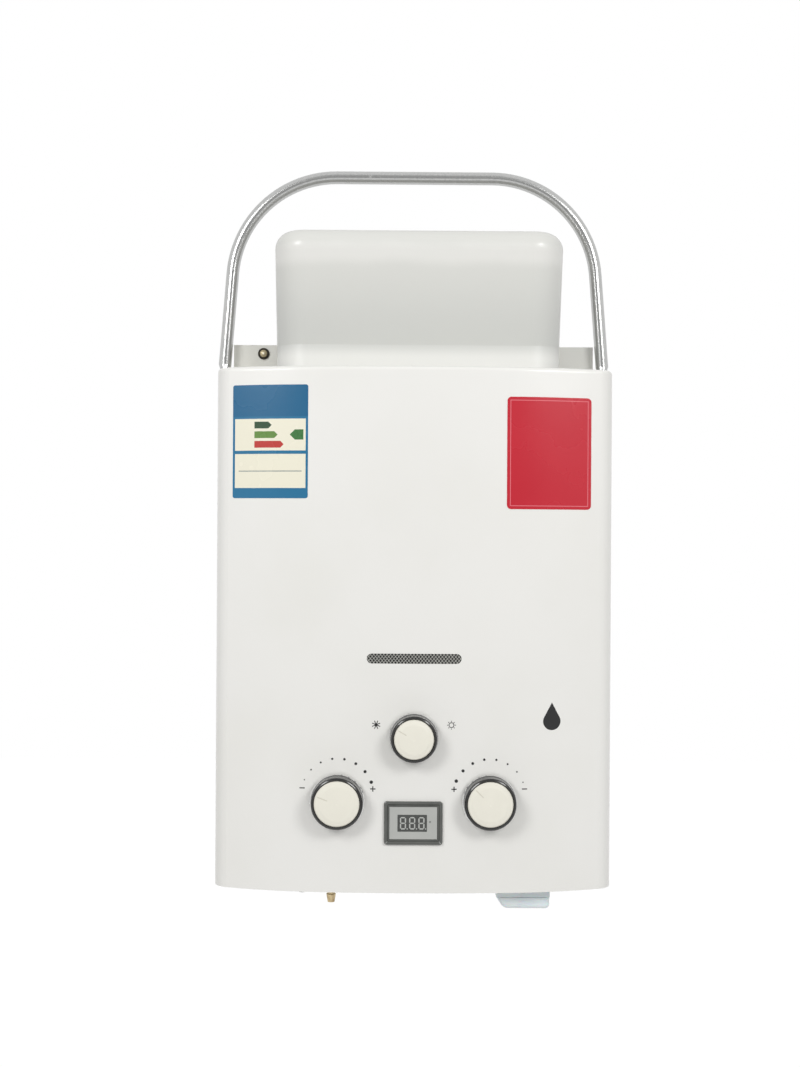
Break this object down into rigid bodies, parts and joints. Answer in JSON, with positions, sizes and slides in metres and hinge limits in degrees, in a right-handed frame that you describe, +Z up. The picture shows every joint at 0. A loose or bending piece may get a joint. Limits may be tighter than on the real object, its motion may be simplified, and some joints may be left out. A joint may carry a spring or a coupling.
{
  "type": "portable propane water heater",
  "caption": "Wall-hung outdoor gas water heater with a crowned cover, swinging carry handle, flue hood, three front knobs, display and battery box.",
  "frame": {"origin": "midway between the two upper wall holes, on the rear face of the back plate", "axes": "+X to the right seen from the front, +Y towards the wall, +Z up"},
  "size_m": [0.3098, 0.1361, 0.5693],
  "materials": {
    "cover_enamel": "gloss warm white powder coat",
    "hood_enamel": "satin grey white enamel",
    "galvanised_sheet": "zinc plated sheet",
    "handle_zinc": "bright zinc plated bar",
    "zinc_screw": "zinc plated screws",
    "brass": "turned and cast brass",
    "dark_gauze": "blackened gauze",
    "knob_black": "gloss black",
    "knob_chrome": "bright plated trim",
    "knob_cream": "cream cap",
    "bezel_grey": "dark grey gloss",
    "display_glass": "smoked window over digits",
    "copper": "copper sheet and tube",
    "stainless": "stainless burner sheet",
    "cast_alloy": "die cast alloy",
    "mica": "clear mica",
    "rubber_black": "nitrile sheet",
    "plastic_black": "moulded black",
    "ceramic_white": "glazed ceramic",
    "battery_blue": "pale blue translucent moulding",
    "cell_jacket": "printed steel jacket, plain"
  },
  "bodies": {
    "heater": {"front_cover": "cover_enamel", "back_plate": "galvanised_sheet", "base_plate": "galvanised_sheet", "flue_hood": "hood_enamel", "handle_pivot_screws": "zinc_screw", "earth_screw": "brass", "cover_screws": "zinc_screw", "sight_mesh": "dark_gauze", "display_bezel": "bezel_grey", "display_module": "display_glass", "combustion_chamber": "copper", "exchanger_fins": "copper", "return_bend": "copper", "cold_water_pipe": "copper", "hot_water_pipe": "copper", "burner_tray": "stainless", "sight_glass": "mica", "burner_blades": "stainless", "gas_manifold": "cast_alloy", "gas_nozzles": "brass", "gas_riser": "cast_alloy", "gas_valve_body": "cast_alloy", "water_valve_body": "brass", "diaphragm_case": "brass", "diaphragm": "rubber_black", "diaphragm_screws": "zinc_screw", "solenoid_valve": "galvanised_sheet", "gas_inlet_barb": "brass", "cold_inlet_nipple": "brass", "hot_outlet_nipple": "brass", "ignition_controller": "plastic_black", "ignition_electrode": "ceramic_white", "flame_sensor": "ceramic_white", "overheat_thermostat": "plastic_black", "microswitch": "plastic_black", "battery_box": "battery_blue", "battery_lid_pin": "zinc_screw", "battery_cells": "cell_jacket"},
    "gas_knob": {"gas_knob_ring": "knob_black", "gas_knob_skirt": "knob_chrome", "gas_knob_cap": "knob_cream", "gas_spindle": "brass"},
    "water_knob": {"water_knob_ring": "knob_black", "water_knob_skirt": "knob_chrome", "water_knob_cap": "knob_cream", "water_spindle": "brass"},
    "selector": {"selector_ring": "knob_black", "selector_skirt": "knob_chrome", "selector_cap": "knob_cream", "selector_spindle": "brass"},
    "handle": {"carry_handle": "handle_zinc"},
    "lid": {"battery_lid": "battery_blue"},
    "rod": {"push_rod": "brass"},
    "lever": {"switch_lever": "stainless"}
  },
  "joints": [
    {"name": "gas_knob_turn", "type": "hinge", "parent": "heater", "child": "gas_knob", "pos_m": [-0.0545, -0.12, -0.332], "axis": [0, 1, 0], "range_deg": [0, 140]},
    {"name": "water_knob_turn", "type": "hinge", "parent": "heater", "child": "water_knob", "pos_m": [0.0545, -0.12, -0.332], "axis": [0, 1, 0], "range_deg": [-25, 115]},
    {"name": "selector_turn", "type": "hinge", "parent": "heater", "child": "selector", "pos_m": [0, -0.12, -0.286], "axis": [0, 1, 0], "range_deg": [0, 120]},
    {"name": "handle_swing", "type": "hinge", "parent": "heater", "child": "handle", "pos_m": [0, -0.01, -0.045], "axis": [1, 0, 0], "range_deg": [0, 48]},
    {"name": "battery_lid_open", "type": "hinge", "parent": "heater", "child": "lid", "pos_m": [0.08175, -0.0227, -0.403], "axis": [1, 0, 0], "range_deg": [0, 95]},
    {"name": "push_rod_slide", "type": "slide", "parent": "heater", "child": "rod", "axis": [-1, 0, 0], "range_m": [0, 0.004], "stiffness_N_per_m": 600, "springref_m": -0.002},
    {"name": "switch_lever_swing", "type": "hinge", "parent": "heater", "child": "lever", "pos_m": [-0.0126, -0.062, -0.33], "axis": [0, 1, 0], "range_deg": [0, 27]}
  ],
  "couplings": [
    {"joint": "switch_lever_swing", "follows": "push_rod_slide", "rad_per_m": 112}
  ]
}
